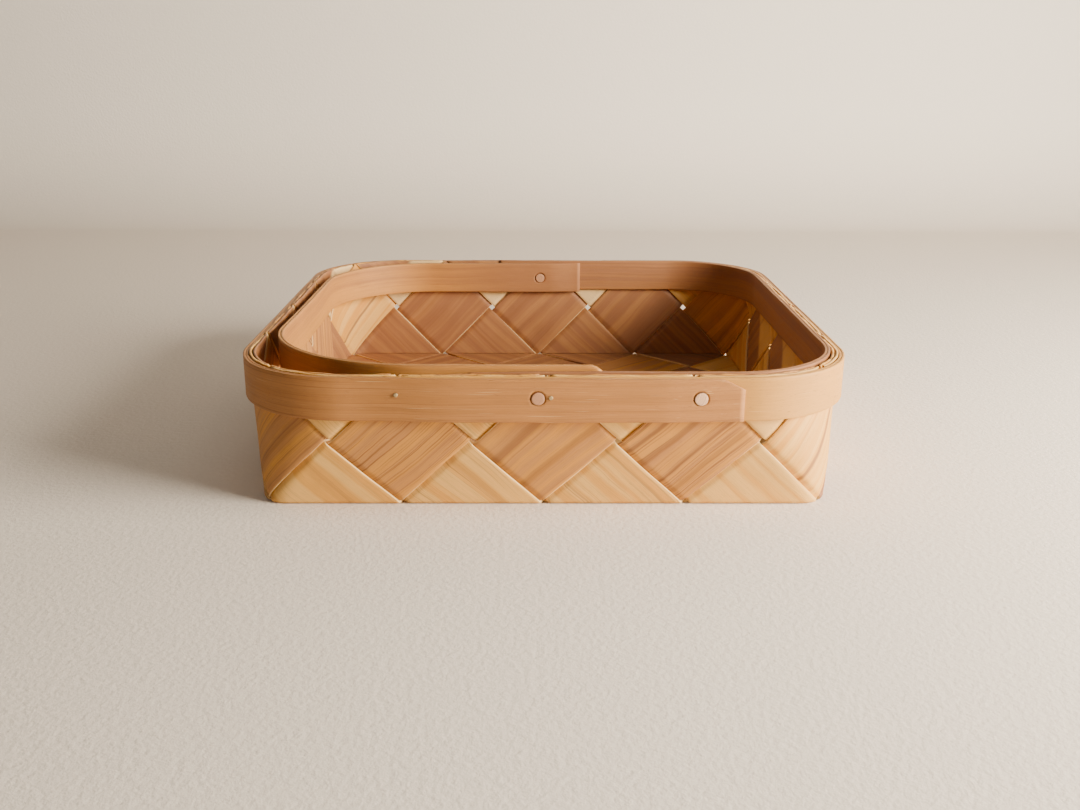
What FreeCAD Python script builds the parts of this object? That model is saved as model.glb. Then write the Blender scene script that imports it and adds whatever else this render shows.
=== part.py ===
"""Square tray basket plaited from wide wooden splints, bound at the rim by lapped hoops.

Frame: origin at the centre of the underside, +Z up, the front wall towards -Y, right wall towards +X.

Sixteen splints cross the base at 45 degrees. Each one folds up at two adjoining bottom edges and runs
up both walls at 45 degrees, so the four splints that cut off one base corner are alike but for their
length, and the four corners repeat by quarter turns. The walls are one band, unrolled as (u, v): u runs
round the bottom edge anticlockwise seen from above, from the front left corner, and v runs up the wall.
The walls lean out to an upright band at the rim, and their corners open from tight at the bottom edge to
wide at the band. The weave draws together a little round each corner.
"""
import FreeCAD
import Part
import math
import os

Vec = FreeCAD.Vector

# ---------------------------------------------------------------- driving dimensions, mm

CELL = 57.0                # diagonal of one square of the weave, which lies along the bottom edges
CELLS = 4                  # squares along each bottom edge
WEAVE_GAP = 2.3            # open gap between neighbouring splints
SPLINT_THICK = 1.0
LAYER_GAP = 0.1            # air between two crossing splints
WALL_RUN = 56.3            # length of the wall above the bottom edge, measured up the wall
BASE_CORNER = 9.0          # corner radius of the bottom edge
WALL_CORNER = 45.0         # corner radius of the wall's upright band, inside the outer hoop
WALL_SPREAD = 7.7          # the upright band stands out from the bottom edge by this much
CORNER_FACETS = 8          # flats that stand for one rounded wall corner

HOOP_THICK = 2.3           # outer hoop, and the right-hand length of the inner one
HOOP_HEIGHT = 17.3         # outer hoop
HOOP_FIT = 0.15            # air between a hoop and the wall
LAP_FIT = 0.1              # air between the lapped layers of a hoop
KNEE_CLEAR = 0.1           # height of the hoops' lower edge above the bend of the wall
WALL_PROUD = 0.3           # height of the wall's top above the outer hoop
OUTER_TIGHTER = 1.5        # the outer hoop bends on a radius this much smaller than the wall behind it
SCARF_TIP = 0.5            # thickness left at a hidden, tapered end
OUTER_HIDDEN_FROM_BEND = 16.3   # hidden end of the outer hoop: past the front left corner's bend
OUTER_SCARF = 30.0         # length of its taper
OUTER_RAMP_LEAD = 12.0     # the covering layer starts to rise this far before the hidden end
OUTER_END_FROM_BEND = 1.8  # visible end of the outer hoop: before the front right corner's bend
OUTER_END_THIN = 1.0       # thickness that its taper leaves there
OUTER_END_TAPER = 30.6
OUTER_CLIP = (9.0, 4.5)    # corner cut off its top: along the hoop, and down

RIGHT_HEIGHT = 17.0        # inner hoop, right-hand length
RIGHT_RAISE = 1.1          # its lower edge, above the outer hoop's
RIGHT_EASIER = 3.0         # it bends on a radius this much larger than the wall behind it
RIGHT_FRONT_X = -30.0      # its hidden ends, under the left-hand length
RIGHT_BACK_X = -24.0
RIGHT_SCARF = 26.0

LEFT_THICK = 2.2           # inner hoop, left-hand length
LEFT_HEIGHT = 20.2
LEFT_STAND_OFF = 4.0       # it springs clear of the left wall by this much
LEFT_FRONT_EASIER = 25.0   # its corners' outside radii are larger than the wall's by these
LEFT_BACK_EASIER = 10.0
LEFT_FRONT_X = 24.1        # its visible ends
LEFT_BACK_X = 23.5
LEFT_CLIP = (5.4, 3.2)

PEG_DIAMETER = 5.4
PEG_FIT = 0.1              # the holes are larger than the pegs by this much on the diameter
PEG_PROUD = 0.25           # a peg stands out of the wood at each end
FRONT_CENTRE_PEG_X = -2.9
FRONT_RIGHT_PEG_FROM_END = 16.9      # from the outer hoop's visible end
BACK_CENTRE_PEG_X = 0.0
FRONT_CENTRE_PEG_RISE = 1.0          # heights above the middle of the outer hoop
FRONT_RIGHT_PEG_RISE = 0.7
BACK_CENTRE_PEG_RISE = -0.4

BRAD_SHANK = 1.2
BRAD_FIT = 0.1
BRAD_HEAD = (2.4, 0.4)     # diameter and thickness
BRAD_CLEAR = 0.1           # its head stands off the hoop, and its point out of the inside, by this much
LEFT_BRAD_FROM_HIDDEN = 4.8          # from the outer hoop's hidden end
CENTRE_BRAD_FROM_PEG = 4.9           # from the front centre peg's axis
LEFT_BRAD_RISE = 2.1
CENTRE_BRAD_RISE = 1.4

# ---------------------------------------------------------------- sizes that follow

PITCH = CELL / math.sqrt(2)
SPLINT_WIDTH = PITCH - WEAVE_GAP
SIDE = CELLS * CELL
HALF_LAYERS = SPLINT_THICK + LAYER_GAP / 2           # half the thickness of two crossing splints
LAYER_OFFSET = (SPLINT_THICK + LAYER_GAP) / 2        # a splint's own mid-surface from the weave's
KNEE_RUN = WALL_RUN - KNEE_CLEAR - HOOP_HEIGHT - WALL_PROUD      # below this the wall leans out
LEAN_SIN = WALL_SPREAD / KNEE_RUN
LEAN_COS = math.sqrt(1 - LEAN_SIN ** 2)
WALL_HALF = SIDE / 2 + WALL_SPREAD                   # mid-surface of the upright band
CORNER_GROWTH = (WALL_CORNER - BASE_CORNER) / KNEE_RUN           # of the corner radius, up the wall
REACH_GROWTH = CORNER_GROWTH - LEAN_SIN              # of the weave's length that goes round a corner
WALL_OUT = WALL_HALF + HALF_LAYERS
WALL_IN = WALL_HALF - HALF_LAYERS
KNEE_Z = HALF_LAYERS + KNEE_RUN * LEAN_COS

HOOP_Z = KNEE_Z + KNEE_CLEAR
HOOP_MIDDLE = HOOP_Z + HOOP_HEIGHT / 2
OUTER_IN = WALL_OUT + HOOP_FIT
OUTER_OUT = OUTER_IN + HOOP_THICK
LAP_IN = OUTER_OUT + LAP_FIT
LAP_OUT = LAP_IN + HOOP_THICK
OUTER_CORNER = WALL_CORNER + HALF_LAYERS - OUTER_TIGHTER         # inside radius
OUTER_BEND_X = OUTER_IN - OUTER_CORNER               # where the front corners' bends meet the front
OUTER_HIDDEN_X = OUTER_HIDDEN_FROM_BEND - OUTER_BEND_X
OUTER_SCARF_X = OUTER_HIDDEN_X + OUTER_SCARF         # full thickness again
OUTER_RAMP_X = OUTER_HIDDEN_X - OUTER_RAMP_LEAD
OUTER_END_X = OUTER_BEND_X - OUTER_END_FROM_BEND
OUTER_TAPER_X = OUTER_END_X - OUTER_END_TAPER

RIGHT_Z = HOOP_Z + RIGHT_RAISE
RIGHT_OUT = WALL_IN - HOOP_FIT
RIGHT_IN = RIGHT_OUT - HOOP_THICK
RIGHT_CORNER = WALL_CORNER - HALF_LAYERS + RIGHT_EASIER          # outside radius
LEFT_OUT = RIGHT_IN - LAP_FIT
LEFT_IN = LEFT_OUT - LEFT_THICK
LEFT_SIDE_OUT = WALL_IN - LEFT_STAND_OFF
LEFT_SIDE_IN = LEFT_SIDE_OUT - LEFT_THICK
LEFT_FRONT_CORNER = WALL_CORNER + LEFT_FRONT_EASIER
LEFT_BACK_CORNER = WALL_CORNER + LEFT_BACK_EASIER

TINY = 1e-6                # lengths below this count as nothing
MARGIN = 1.0               # drills and cutters run past the wood by this much
CORNERS = ("front_left", "front_right", "back_right", "back_left")
DOWN = Vec(0, 0, -1)

# ---------------------------------------------------------------- the wall and base surface


def direction(degrees):
    """Level unit vector at this angle from +X."""
    return Vec(math.cos(math.radians(degrees)), math.sin(math.radians(degrees)), 0)


def mitre(first, second):
    """Offset vector on a fold: it keeps unit distance from both faces that meet there."""
    return (first + second) * (1 / (1 + first.dot(second)))


def wall_outward(level, lean):
    """Outward normals below and above the wall's bend, for a face that looks towards `level`."""
    below = level * LEAN_COS + DOWN * lean
    return below.normalize(), level


def weave_point(u, v):
    """Point of the weave's mid-surface, and its offset vector. On the base v is below zero.

    At each v the surface is a square with rounded corners. Away from the corners u is a true length;
    within `reach` of a corner the weave takes up the corner's arc.
    """
    corner = round(u / SIDE)
    past = u - corner * SIDE
    inset = min(v, 0)
    climbed = min(max(v, 0), KNEE_RUN)
    half = SIDE / 2 + inset + climbed * LEAN_SIN
    radius = max(BASE_CORNER + inset, 0) + climbed * CORNER_GROWTH
    reach = radius - climbed * LEAN_SIN
    from_corner = max(abs(past) + inset, 0)
    if from_corner < reach:
        swing = math.copysign(from_corner / reach, past) * math.pi / 4
        level = direction(90 * corner + 225 + math.degrees(swing))
        place = direction(90 * corner + 225) * ((half - radius) * math.sqrt(2)) + level * radius
        lean = CORNER_GROWTH - REACH_GROWTH * math.sqrt(2) * math.cos(swing)
    else:
        wall = corner if past > 0 else corner - 1
        level = direction(90 * wall + 270)
        place = level * half + direction(90 * wall) * (past - math.copysign(SIDE / 2, past))
        lean = LEAN_SIN
    place.z = HALF_LAYERS + climbed * LEAN_COS + max(v - KNEE_RUN, 0)
    below, above = wall_outward(level, lean)
    if v < -TINY:
        return place, DOWN
    if v < TINY:
        return place, mitre(DOWN, below)
    if abs(v - KNEE_RUN) < TINY:
        return place, mitre(below, above)
    return place, below if v < KNEE_RUN else above


# ---------------------------------------------------------------- splints


class Splint:
    """One splint, laid flat: s runs along it from the middle of its first bottom-edge square, w across.

    It cuts off base corner number `corner` at distance `reach` from it along both bottom edges. The
    first end climbs the wall after the corner and leans forward round the basket; the last end climbs
    the wall before the corner and leans back.
    """

    def __init__(self, corner, number):
        self.squares = 2 * number + 1
        self.reach = self.squares * CELL / 2
        self.length = self.squares * PITCH
        self.start_u = corner * SIDE + self.reach
        self.end_u = corner * SIDE - self.reach
        self.corner = corner

    def first_wall(self, s, w):
        """(u, v) on the first wall; v is below zero on the base."""
        return self.start_u + (w - s) / math.sqrt(2), -(s + w) / math.sqrt(2)

    def last_wall(self, s, w):
        """(u, v) on the last wall; v is below zero on the base."""
        past = s - self.length
        return self.end_u - (past + w) / math.sqrt(2), (past - w) / math.sqrt(2)

    def surface(self, s, w):
        """Point of the weave's mid-surface under (s, w), and its offset vector."""
        first, last = self.first_wall(s, w), self.last_wall(s, w)
        return weave_point(*(first if first[1] > last[1] else last))

    def layer(self, s):
        """Distance of the splint's mid-surface outward from the weave's: it changes over in the gaps."""
        square = math.floor(s / PITCH + 0.5)
        here = -LAYER_OFFSET if square % 2 == 0 else LAYER_OFFSET
        from_middle = s - square * PITCH
        into_gap = abs(from_middle) - SPLINT_WIDTH / 2
        if into_gap <= 0:
            return here
        return here * (1 - 2 * into_gap / WEAVE_GAP)

    def on_base(self, s, w):
        return self.first_wall(s, w)[1] < 0 and self.last_wall(s, w)[1] < 0

    def fold_lines(self):
        """The (s, w) cuts that follow folds: each is (function of s and w, test for where it applies)."""
        lines = []
        for wall in (self.first_wall, self.last_wall):
            for level in (-BASE_CORNER, 0, KNEE_RUN):
                lines.append((lambda s, w, wall=wall, level=level: wall(s, w)[1] - level, None))
            nearest = round(wall(0 if wall == self.first_wall else self.length, 0)[0] / SIDE)
            for corner in range(nearest - 1, nearest + 2):
                for step in range(CORNER_FACETS + 1):
                    share = 2 * step / CORNER_FACETS - 1
                    lines.append(ray_cut(wall, corner, share))
                    lines.append(upright_cut(wall, corner, share))
                    lines.append(base_cut(wall, corner, share, self.on_base))
        first = math.floor(-(SPLINT_WIDTH / 2 + math.sqrt(2) * WALL_RUN) / PITCH)
        for gap in range(first, self.squares - first):
            for edge in (-WEAVE_GAP / 2, WEAVE_GAP / 2):
                station = (gap + 0.5) * PITCH + edge
                lines.append((lambda s, w, station=station: s - station, None))
        return lines

    def outline(self):
        """The flat splint: its ends are cut level with the top of the wall."""
        half = SPLINT_WIDTH / 2
        rise = math.sqrt(2) * WALL_RUN
        return [(-rise + half, -half), (self.length + rise - half, -half),
                (self.length + rise + half, half), (-rise - half, half)]

    def solid(self):
        pieces = [self.outline()]
        for line, applies in self.fold_lines():
            pieces = [part for piece in pieces for part in cut_polygon(piece, line, applies)]
        return thick_solid(pieces, self.surface, self.layer)


def ray_cut(wall, corner, share):
    """Cut up a wall corner at this share of its reach, from the bottom edge to the bend of the wall."""
    def line(s, w):
        u, v = wall(s, w)
        return u - corner * SIDE - share * (BASE_CORNER + REACH_GROWTH * v)

    def applies(s, w):
        return 0 < wall(s, w)[1] < KNEE_RUN
    return line, applies


def upright_cut(wall, corner, share):
    """Cut along one upright line of a wall corner, above the bend of the wall."""
    def line(s, w):
        return wall(s, w)[0] - corner * SIDE - share * (WALL_CORNER - WALL_SPREAD)

    def applies(s, w):
        return wall(s, w)[1] > KNEE_RUN
    return line, applies


def base_cut(wall, corner, share, on_base):
    """Cut across the base from the middle of a corner's arc; the outermost ones run on inwards."""
    def line(s, w):
        u, v = wall(s, w)
        return u - corner * SIDE - math.copysign(BASE_CORNER * abs(share) - v * (1 - abs(share)), share)

    def applies(s, w):
        depth = BASE_CORNER if abs(share) < 1 else math.inf
        return -depth < wall(s, w)[1] and on_base(s, w)
    return line, applies


def cut_polygon(polygon, line, applies):
    """Both parts of a convex polygon cut along line = 0, or the polygon itself if it isn't cut."""
    middle = [sum(values) / len(polygon) for values in zip(*polygon)]
    if applies and not applies(*middle):
        return [polygon]
    values = [line(*point) for point in polygon]
    values = [0 if abs(value) < TINY else value for value in values]
    if min(values) >= 0 or max(values) <= 0:
        return [polygon]
    sides = ([], [])
    for index, (point, value) in enumerate(zip(polygon, values)):
        before, last = polygon[index - 1], values[index - 1]
        if value * last < 0:
            share = last / (last - value)
            crossing = tuple(a + (b - a) * share for a, b in zip(before, point))
            sides[0].append(crossing)
            sides[1].append(crossing)
        if value >= 0:
            sides[0].append(point)
        if value <= 0:
            sides[1].append(point)
    return list(sides)


def thick_solid(polygons, surface, layer):
    """Solid sheet over flat polygons that share whole edges, laid on `surface` at height `layer`."""
    numbers = {}
    flat = []
    rings = []
    for polygon in polygons:
        ring = []
        for point in polygon:
            key = (round(point[0], 4), round(point[1], 4))
            if key not in numbers:
                numbers[key] = len(flat)
                flat.append(point)
            if not ring or numbers[key] != ring[-1]:
                ring.append(numbers[key])
        rings.append(ring)
    places = [surface(*point) for point in flat]
    levels = [layer(point[0]) for point in flat]
    outer = [place + away * (level + SPLINT_THICK / 2) for (place, away), level in zip(places, levels)]
    inner = [place + away * (level - SPLINT_THICK / 2) for (place, away), level in zip(places, levels)]
    count = len(flat)
    edges = {(a, b) for ring in rings for a, b in zip(ring, ring[1:] + ring[:1])}
    facets = []
    for ring in rings:
        for b, c in zip(ring[1:], ring[2:]):
            facets.append((ring[0], b, c))
            facets.append((ring[0] + count, c + count, b + count))
    for a, b in edges:
        if (b, a) not in edges:
            facets.append((a, a + count, b))
            facets.append((b, a + count, b + count))
    shell = Part.Shape()
    shell.makeShapeFromMesh((outer + inner, facets), TINY)
    solid = Part.makeSolid(shell)
    if solid.Volume < 0:
        solid.reverse()
    return solid.removeSplitter()


# ---------------------------------------------------------------- hoops


def rounded_edges(nodes):
    """Straight runs through (x, y, radius) nodes, joined by tangent arcs where the radius isn't 0."""
    points = [Vec(x, y, 0) for x, y, radius in nodes]
    edges = []
    last = points[0]
    for index in range(1, len(nodes) - 1):
        here, radius = points[index], nodes[index][2]
        back = (points[index - 1] - here).normalize()
        onward = (points[index + 1] - here).normalize()
        turn = math.pi - back.getAngle(onward)
        if radius:
            reach = radius * math.tan(turn / 2)
            centre = here + (back + onward).normalize() * (radius / math.cos(turn / 2))
            start, end = here + back * reach, here + onward * reach
            middle = centre + (here - centre).normalize() * radius
            edges.append(Part.makeLine(last, start))
            edges.append(Part.Arc(start, middle, end).toShape())
            last = end
        else:
            edges.append(Part.makeLine(last, here))
            last = here
    edges.append(Part.makeLine(last, points[-1]))
    return edges


def strip(inside, outside, bottom, height):
    """Upright strip between two plan lines that run the same way, from their starts to their ends."""
    ends = [Part.makeLine(Vec(*inside[0][:2], 0), Vec(*outside[0][:2], 0)),
            Part.makeLine(Vec(*inside[-1][:2], 0), Vec(*outside[-1][:2], 0))]
    edges = rounded_edges(inside) + rounded_edges(outside) + ends
    face = Part.Face(Part.Wire(Part.__sortEdges__(edges)))
    face.translate(Vec(0, 0, bottom))
    return face.extrude(Vec(0, 0, height))


def clip_prism(end_x, top, clip, near_y, far_y):
    """The corner that is cut off the top of a strip's end at end_x, between two depths."""
    along, down = clip
    corners = [(end_x - along, top), (end_x - along, top + MARGIN), (end_x + MARGIN, top + MARGIN),
               (end_x + MARGIN, top - down), (end_x, top - down)]
    loop = [Vec(x, near_y, z) for x, z in corners]
    face = Part.Face(Part.makePolygon(loop + loop[:1]))
    return face.extrude(Vec(0, far_y - near_y, 0))


def square_turns(half, radius, turns):
    """Corner nodes of a rounded square, in order: the chosen ones of CORNERS."""
    signs = {"front_left": (-1, -1), "front_right": (1, -1), "back_right": (1, 1), "back_left": (-1, 1)}
    return [(signs[turn][0] * half, signs[turn][1] * half, radius) for turn in turns]


def outer_hoop():
    """One strip, once round the rim and lapped over its own hidden end along the front."""
    turns = CORNERS[1:] + CORNERS[:1]
    inside = [(OUTER_HIDDEN_X, -OUTER_IN, 0)]
    inside += square_turns(OUTER_IN, OUTER_CORNER, turns)
    inside += [(OUTER_RAMP_X, -OUTER_IN, 0), (OUTER_SCARF_X, -LAP_IN, 0), (OUTER_END_X, -LAP_IN, 0)]
    outside = [(OUTER_HIDDEN_X, -OUTER_IN - SCARF_TIP, 0), (OUTER_SCARF_X, -OUTER_OUT, 0)]
    outside += square_turns(OUTER_OUT, OUTER_CORNER + HOOP_THICK, turns)
    outside += [(OUTER_RAMP_X, -OUTER_OUT, 0), (OUTER_SCARF_X, -LAP_OUT, 0), (OUTER_TAPER_X, -LAP_OUT, 0),
                (OUTER_END_X, -LAP_IN - OUTER_END_THIN, 0)]
    hoop = strip(inside, outside, HOOP_Z, HOOP_HEIGHT)
    between_layers = -(OUTER_OUT + LAP_FIT / 2)
    clip = clip_prism(OUTER_END_X, HOOP_Z + HOOP_HEIGHT, OUTER_CLIP, -LAP_OUT - MARGIN, between_layers)
    return hoop.cut(clip)


def inner_hoop_right():
    """Strip inside the wall, round both right-hand corners, thinned at its two hidden ends."""
    turns = ("front_right", "back_right")
    front_full, back_full = RIGHT_FRONT_X + RIGHT_SCARF, RIGHT_BACK_X + RIGHT_SCARF
    outside = [(RIGHT_FRONT_X, -RIGHT_OUT, 0)]
    outside += square_turns(RIGHT_OUT, RIGHT_CORNER, turns)
    outside += [(RIGHT_BACK_X, RIGHT_OUT, 0)]
    inside = [(RIGHT_FRONT_X, SCARF_TIP - RIGHT_OUT, 0), (front_full, -RIGHT_IN, 0)]
    inside += square_turns(RIGHT_IN, RIGHT_CORNER - HOOP_THICK, turns)
    inside += [(back_full, RIGHT_IN, 0), (RIGHT_BACK_X, RIGHT_OUT - SCARF_TIP, 0)]
    return strip(inside, outside, RIGHT_Z, RIGHT_HEIGHT)


def inner_hoop_left():
    """Springy strip that laps inside the right-hand length at both ends and cuts the left corners."""
    outside = [(LEFT_BACK_X, LEFT_OUT, 0),
               (-LEFT_SIDE_OUT, LEFT_OUT, LEFT_BACK_CORNER),
               (-LEFT_SIDE_OUT, -LEFT_OUT, LEFT_FRONT_CORNER),
               (LEFT_FRONT_X, -LEFT_OUT, 0)]
    inside = [(LEFT_BACK_X, LEFT_IN, 0),
              (-LEFT_SIDE_IN, LEFT_IN, LEFT_BACK_CORNER - LEFT_THICK),
              (-LEFT_SIDE_IN, -LEFT_IN, LEFT_FRONT_CORNER - LEFT_THICK),
              (LEFT_FRONT_X, -LEFT_IN, 0)]
    hoop = strip(inside, outside, HOOP_Z, LEFT_HEIGHT)
    near_y, far_y = -LEFT_OUT - MARGIN, -LEFT_IN + MARGIN
    return hoop.cut(clip_prism(LEFT_FRONT_X, HOOP_Z + LEFT_HEIGHT, LEFT_CLIP, near_y, far_y))


# ---------------------------------------------------------------- pegs and brads


def front_face(x):
    """Y of the front of the outer hoop at x, where its covering layer lies."""
    rise = min(max((x - OUTER_RAMP_X) / (OUTER_SCARF_X - OUTER_RAMP_X), 0), 1)
    fall = min(max((x - OUTER_TAPER_X) / OUTER_END_TAPER, 0), 1)
    return -OUTER_OUT - rise * (LAP_OUT - OUTER_OUT) + fall * (HOOP_THICK - OUTER_END_THIN)


def rod(x, z, near_y, far_y, diameter):
    """Round rod along Y, between two depths."""
    return Part.makeCylinder(diameter / 2, far_y - near_y, Vec(x, near_y, z), Vec(0, 1, 0))


def peg_spans():
    """Each peg: x, z, and the two faces of the wood that it stands out of."""
    right_x = OUTER_END_X - FRONT_RIGHT_PEG_FROM_END
    return {
        "front_centre_peg": (FRONT_CENTRE_PEG_X, HOOP_MIDDLE + FRONT_CENTRE_PEG_RISE,
                             front_face(FRONT_CENTRE_PEG_X), -LEFT_IN),
        "front_right_peg": (right_x, HOOP_MIDDLE + FRONT_RIGHT_PEG_RISE, front_face(right_x), -RIGHT_IN),
        "back_centre_peg": (BACK_CENTRE_PEG_X, HOOP_MIDDLE + BACK_CENTRE_PEG_RISE, LEFT_IN, OUTER_OUT),
    }


def brad_spans():
    """Each brad: x, z, the face that its head sits on, and the face that its point stands out of."""
    left_x = OUTER_HIDDEN_X + LEFT_BRAD_FROM_HIDDEN
    centre_x = FRONT_CENTRE_PEG_X + CENTRE_BRAD_FROM_PEG
    return {
        "front_left_brad": (left_x, HOOP_MIDDLE + LEFT_BRAD_RISE, front_face(left_x), -WALL_IN),
        "front_centre_brad": (centre_x, HOOP_MIDDLE + CENTRE_BRAD_RISE, front_face(centre_x), -LEFT_IN),
    }


def brad(x, z, face_y, point_y):
    """Flat-headed brad, driven in from the front."""
    head_diameter, head_thick = BRAD_HEAD
    under_head = face_y - BRAD_CLEAR
    head = rod(x, z, under_head - head_thick, under_head, head_diameter)
    shank = rod(x, z, under_head - head_thick / 2, point_y + BRAD_CLEAR, BRAD_SHANK)
    return head.fuse(shank).removeSplitter()


def fasteners():
    """The pegs and brads by name, and the drills that make their holes."""
    made, drills = {}, []
    for name, (x, z, near_y, far_y) in peg_spans().items():
        made[name] = rod(x, z, near_y - PEG_PROUD, far_y + PEG_PROUD, PEG_DIAMETER)
        drills.append(rod(x, z, near_y - MARGIN, far_y + MARGIN, PEG_DIAMETER + PEG_FIT))
    for name, (x, z, face_y, point_y) in brad_spans().items():
        made[name] = brad(x, z, face_y, point_y)
        drills.append(rod(x, z, face_y - MARGIN, point_y + MARGIN, BRAD_SHANK + BRAD_FIT))
    return made, drills


def drilled(shape, drills):
    """The shape with every hole that reaches it."""
    for drill in drills:
        if shape.BoundBox.intersect(drill.BoundBox):
            shape = shape.cut(drill)
    return shape


# ---------------------------------------------------------------- the basket


def basket():
    """Every piece by its name."""
    wooden = {}
    for corner, corner_name in enumerate(CORNERS):
        for number in range(CELLS):
            wooden[f"splint_{corner_name}_{number + 1}"] = Splint(corner, number).solid()
    wooden["outer_hoop"] = outer_hoop()
    wooden["inner_hoop_right"] = inner_hoop_right()
    wooden["inner_hoop_left"] = inner_hoop_left()
    made, drills = fasteners()
    pieces = {name: drilled(shape, drills) for name, shape in wooden.items()}
    pieces.update(made)
    return pieces


os.makedirs("parts", exist_ok=True)
for name, shape in basket().items():
    shape.exportStep(f"parts/{name}.step")
    print(f"{name}: {len(shape.Solids)} solid, {shape.Volume:.0f} mm3, valid {shape.isValid()}")
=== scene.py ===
"""Looks of a square tray basket plaited from wide wooden splints and bound at the rim by lapped hoops.

Laid out as an add-on and run as a script: the frame is loaded first, each operator builds one kind of
piece round it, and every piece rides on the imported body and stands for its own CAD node.
"""
import math

import bpy
import numpy as np
from mathutils import Euler, Matrix, Vector


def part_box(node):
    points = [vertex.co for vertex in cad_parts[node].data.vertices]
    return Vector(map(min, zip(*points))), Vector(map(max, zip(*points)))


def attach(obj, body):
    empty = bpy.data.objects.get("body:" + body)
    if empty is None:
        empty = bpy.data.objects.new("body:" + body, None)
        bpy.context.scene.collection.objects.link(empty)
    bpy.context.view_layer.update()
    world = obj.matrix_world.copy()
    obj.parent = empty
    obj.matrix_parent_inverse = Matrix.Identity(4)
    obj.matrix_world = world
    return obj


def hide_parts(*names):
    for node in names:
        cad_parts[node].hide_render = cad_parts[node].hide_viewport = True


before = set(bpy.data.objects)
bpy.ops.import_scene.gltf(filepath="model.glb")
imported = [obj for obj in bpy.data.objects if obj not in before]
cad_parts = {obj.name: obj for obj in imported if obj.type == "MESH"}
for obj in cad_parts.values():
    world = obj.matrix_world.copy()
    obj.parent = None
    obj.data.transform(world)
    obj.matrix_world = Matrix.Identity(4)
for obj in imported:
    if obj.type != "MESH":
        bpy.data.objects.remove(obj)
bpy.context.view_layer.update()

bl_info = {
    "name": "Plaited tray basket",
    "version": (1, 0, 0),
    "blender": (4, 5, 0),
    "location": "View3D > Sidebar > Basket",
    "description": "Builds a plaited wood-splint tray basket, its hoops and its fastenings",
    "category": "Object",
}

CORNERS = ("front_left", "front_right", "back_right", "back_left")
CELLS = 4                            # squares along each bottom edge, and splints round each base corner
GRAIN = "grain"                      # attribute: along the wood, across it and through it, in mm
MM = 0.001
TINY = 1e-9                          # metres; lengths below this count as nothing

# ------------------------ sizes and colours


def length(name, description, default):
    """A length in metres that a user can change."""
    return bpy.props.FloatProperty(name=name, description=description, default=default, min=0,
                                   precision=5, unit="LENGTH")


def position(name, description, default):
    """A place along an axis, in metres, that a user can change."""
    return bpy.props.FloatProperty(name=name, description=description, default=default, precision=5,
                                   unit="LENGTH")


def colour(name, description, default):
    """A surface colour that a user can change."""
    return bpy.props.FloatVectorProperty(name=name, description=description, default=default, size=3,
                                         min=0, max=1, subtype="COLOR")


class WeaveSizes(bpy.types.PropertyGroup):
    """Sizes of the plaited body."""

    cell: length("Cell", "Diagonal of one square of the weave", 57.0 * MM)
    gap: length("Gap", "Open gap between neighbouring splints", 2.3 * MM)
    thick: length("Thickness", "Thickness of a splint", 1.0 * MM)
    air: length("Air", "Air between two crossing splints", 0.1 * MM)
    wall_run: length("Wall run", "Length of the wall, measured up it", 56.3 * MM)
    knee_run: length("Bend", "Height up the wall where it turns upright", 38.6 * MM)
    spread: length("Spread", "How far the upright band stands out from the bottom edge", 7.7 * MM)
    base_corner: length("Base corner", "Corner radius of the bottom edge", 9.0 * MM)
    band_corner: length("Band corner", "Corner radius of the upright band", 45.0 * MM)
    fold: length("Fold", "Reach of the rounded fold at the bottom edge, each way", 0.8 * MM)
    bend: length("Bend reach", "Reach of the rounded bend of the wall, each way", 6.0 * MM)
    crown: length("Crown", "How far a splint bows between its crossings", 0.28 * MM)
    waver: length("Waver", "How far a splint's edges wander", 0.22 * MM)
    stand_off: length("Stand off", "How far the corner splints spring off the base corners", 0.35 * MM)


class HoopSizes(bpy.types.PropertyGroup):
    """Sizes of the hoops that the frame's boxes don't give."""

    thick: length("Thickness", "Thickness of the outer hoop and the right-hand inner length", 2.3 * MM)
    left_thick: length("Left thickness", "Thickness of the left-hand inner length", 2.2 * MM)
    outer_corner: length("Outer corner", "Inside corner radius of the outer hoop", 44.55 * MM)
    right_corner: length("Right corner", "Outside corner radius of the right-hand inner length", 46.95 * MM)
    left_front_corner: length("Left front corner", "Outside radius at the corner it cuts", 70.0 * MM)
    left_back_corner: length("Left back corner", "Outside radius at the back left", 55.0 * MM)
    tip: length("Tip", "Thickness left at a hidden, tapered end", 0.5 * MM)
    end_thin: length("Thin end", "Thickness of the outer hoop's visible end", 0.6 * MM)
    hidden_x: position("Hidden end", "Hidden end of the outer hoop", -62.05 * MM)
    ramp_x: position("Ramp", "Where the covering layer starts to rise", -74.05 * MM)
    full_x: position("Full lap", "Where both lapped layers have their full thickness", -32.05 * MM)
    end_x: position("Visible end", "Visible end of the outer hoop", 76.55 * MM)
    taper_x: position("Taper", "Where the visible end starts to thin", 45.95 * MM)
    right_front_x: position("Right length, front", "Its hidden end at the front", -30.0 * MM)
    right_back_x: position("Right length, back", "Its hidden end at the back", -24.0 * MM)
    right_scarf: length("Right taper", "Length of the taper at each of its hidden ends", 26.0 * MM)
    left_back_x: position("Left length, back", "End of the left-hand length at the back", 23.5 * MM)
    left_slope: length("Left slope", "How much lower the left-hand length's top is at the back", 3.4 * MM)
    hole_shift: length("Hole shift", "How far the front holes gape on the left of their pegs", 0.16 * MM)
    hole_radius: length("Hole radius", "Radius of a peg's hole", 2.92 * MM)
    arris: length("Arris", "Rounding of a hoop's edges", 0.35 * MM)


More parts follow.
